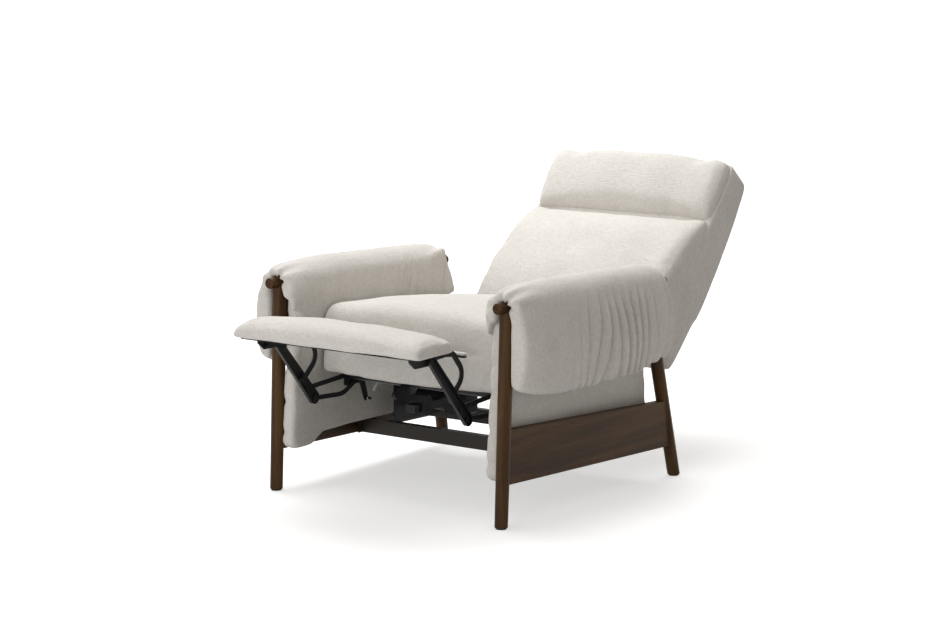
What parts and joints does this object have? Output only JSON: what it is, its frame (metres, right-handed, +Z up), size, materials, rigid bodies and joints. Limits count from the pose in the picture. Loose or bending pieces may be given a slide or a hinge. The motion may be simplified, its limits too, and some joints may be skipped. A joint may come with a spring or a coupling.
{
  "type": "recliner",
  "caption": "Power recliner with a wooden show frame, draped arm pillows, a reclining back and a steel linkage that raises a padded footrest.",
  "frame": {"origin": "on the floor under the middle of the whole chair's box, footrest out and back down", "axes": "+X towards the sitter's left, +Y towards the back of the chair, +Z up"},
  "size_m": [0.8798, 1.5386, 0.8185],
  "materials": {
    "upholstery": "warm off-white slubby woven fabric",
    "walnut": "dark walnut stain, satin lacquer",
    "frame_wood": "bare plywood and softwood",
    "black_steel": "black powder coat",
    "brown_steel": "dark grey-brown paint",
    "bright_steel": "zinc-plated steel",
    "black_plastic": "moulded nylon",
    "button_plastic": "satin dark grey"
  },
  "bodies": {
    "chair_base": {"front_leg_left": "walnut", "front_leg_right": "walnut", "rear_leg_left": "walnut", "rear_leg_right": "walnut", "foot_glides": "black_plastic", "arm_rails": "walnut", "apron_left": "walnut", "apron_right": "walnut", "mid_rails": "walnut", "inner_panel_left": "upholstery", "inner_panel_right": "upholstery", "arm_pillow_left": "upholstery", "arm_pillow_right": "upholstery", "front_cross_rail": "brown_steel", "rear_cross_rail": "brown_steel", "side_frames": "black_steel", "link_studs": "bright_steel", "spring_anchors": "black_steel", "footrest_springs": "bright_steel", "actuator_rail": "black_steel", "lead_screw": "bright_steel", "gearbox": "black_plastic", "footrest_motor": "black_plastic", "power_inlet": "black_plastic", "actuator_bar": "black_steel", "seat_front_rail": "frame_wood", "seat_rear_rail": "frame_wood", "seat_side_rails": "frame_wood", "seat_springs": "bright_steel", "spring_clips": "bright_steel", "seat_cushion": "upholstery", "hinge_plates": "black_steel", "pivot_pins": "bright_steel", "switch_housing": "black_plastic", "seat_bolts": "bright_steel"},
    "rear_link_set": {"rear_links": "black_steel", "torque_tube": "black_steel", "crank_arm": "black_steel"},
    "control_link_set": {"control_links": "black_steel"},
    "channel_link_set": {"channel_links": "black_steel", "channel_rivets": "bright_steel"},
    "curved_link_set": {"curved_links": "black_steel"},
    "footrest": {"footrest_brackets": "black_steel", "footrest_board": "frame_wood", "footrest_pad": "upholstery", "panel_hinges": "black_steel"},
    "middle_flap": {"middle_panel": "upholstery", "middle_panel_board": "frame_wood"},
    "slider": {"slide_block": "black_plastic"},
    "drive_rod": {"drive_link": "black_steel"},
    "back": {"back_cushion": "upholstery", "head_cushion": "upholstery", "back_shell": "upholstery", "back_stiles": "frame_wood", "back_rails": "frame_wood", "back_brackets": "black_steel"},
    "strut_tube": {"back_strut_body": "black_plastic"},
    "strut_rod": {"back_strut_rod": "bright_steel"},
    "button_up": {"button_up": "button_plastic"},
    "button_down": {"button_down": "button_plastic"}
  },
  "joints": [
    {"name": "footrest_lift", "type": "hinge", "parent": "chair_base", "child": "rear_link_set", "pos_m": [0, -0.36127, 0.296], "axis": [1, 0, 0], "range_deg": [0, 136.7]},
    {"name": "channel_link_pivot", "type": "hinge", "parent": "rear_link_set", "child": "channel_link_set", "pos_m": [0, -0.53097, 0.2876], "axis": [1, 0, 0], "range_deg": [-109.81, 0]},
    {"name": "footrest_pivot", "type": "hinge", "parent": "channel_link_set", "child": "footrest", "pos_m": [0, -0.64817, 0.4216], "axis": [1, 0, 0], "range_deg": [0, 63.11]},
    {"name": "middle_flap_hinge", "type": "hinge", "parent": "footrest", "child": "middle_flap", "pos_m": [0, -0.61127, 0.43], "axis": [1, 0, 0], "range_deg": [-171.71, 0]},
    {"name": "curved_link_pivot", "type": "hinge", "parent": "rear_link_set", "child": "curved_link_set", "pos_m": [0, -0.55727, 0.314], "axis": [1, 0, 0], "range_deg": [-117.51, 0]},
    {"name": "control_link_pivot", "type": "hinge", "parent": "chair_base", "child": "control_link_set", "pos_m": [0, -0.32847, 0.2843], "axis": [1, 0, 0], "range_deg": [0, 130.61]},
    {"name": "slide_block_travel", "type": "slide", "parent": "chair_base", "child": "slider", "axis": [0, 1, 0], "range_m": [0, 0.10826]},
    {"name": "drive_rod_pivot", "type": "hinge", "parent": "slider", "child": "drive_rod", "pos_m": [0, -0.26858, 0.235], "axis": [1, 0, 0], "range_deg": [-4.12, 0]},
    {"name": "back_recline", "type": "hinge", "parent": "chair_base", "child": "back", "pos_m": [0, 0.21873, 0.372], "axis": [1, 0, 0], "range_deg": [0, 22]},
    {"name": "strut_tilt", "type": "hinge", "parent": "chair_base", "child": "strut_tube", "pos_m": [0.07, 0.12473, 0.16], "axis": [1, 0, 0], "range_deg": [0, 4.41]},
    {"name": "strut_stroke", "type": "slide", "parent": "strut_tube", "child": "strut_rod", "axis": [0, 0.7567, 0.6538], "range_m": [0, 0.03509]},
    {"name": "up_button_press", "type": "slide", "parent": "chair_base", "child": "button_up", "axis": [1, 0, 0], "range_m": [0, 0.0015], "stiffness_N_per_m": 400},
    {"name": "down_button_press", "type": "slide", "parent": "chair_base", "child": "button_down", "axis": [1, 0, 0], "range_m": [0, 0.0015], "stiffness_N_per_m": 400}
  ],
  "couplings": [
    {"joint": "channel_link_pivot", "follows": "footrest_lift", "ratio": -0.80322},
    {"joint": "footrest_pivot", "follows": "footrest_lift", "ratio": 0.46159},
    {"joint": "middle_flap_hinge", "follows": "footrest_lift", "ratio": -1.256},
    {"joint": "curved_link_pivot", "follows": "footrest_lift", "ratio": -0.85955},
    {"joint": "control_link_pivot", "follows": "footrest_lift", "ratio": 0.95538},
    {"joint": "drive_rod_pivot", "follows": "footrest_lift", "ratio": -0.03007},
    {"joint": "slide_block_travel", "follows": "footrest_lift", "m_per_rad": 0.045371},
    {"joint": "strut_tilt", "follows": "back_recline", "ratio": 0.19988},
    {"joint": "strut_stroke", "follows": "back_recline", "m_per_rad": 0.091361}
  ]
}
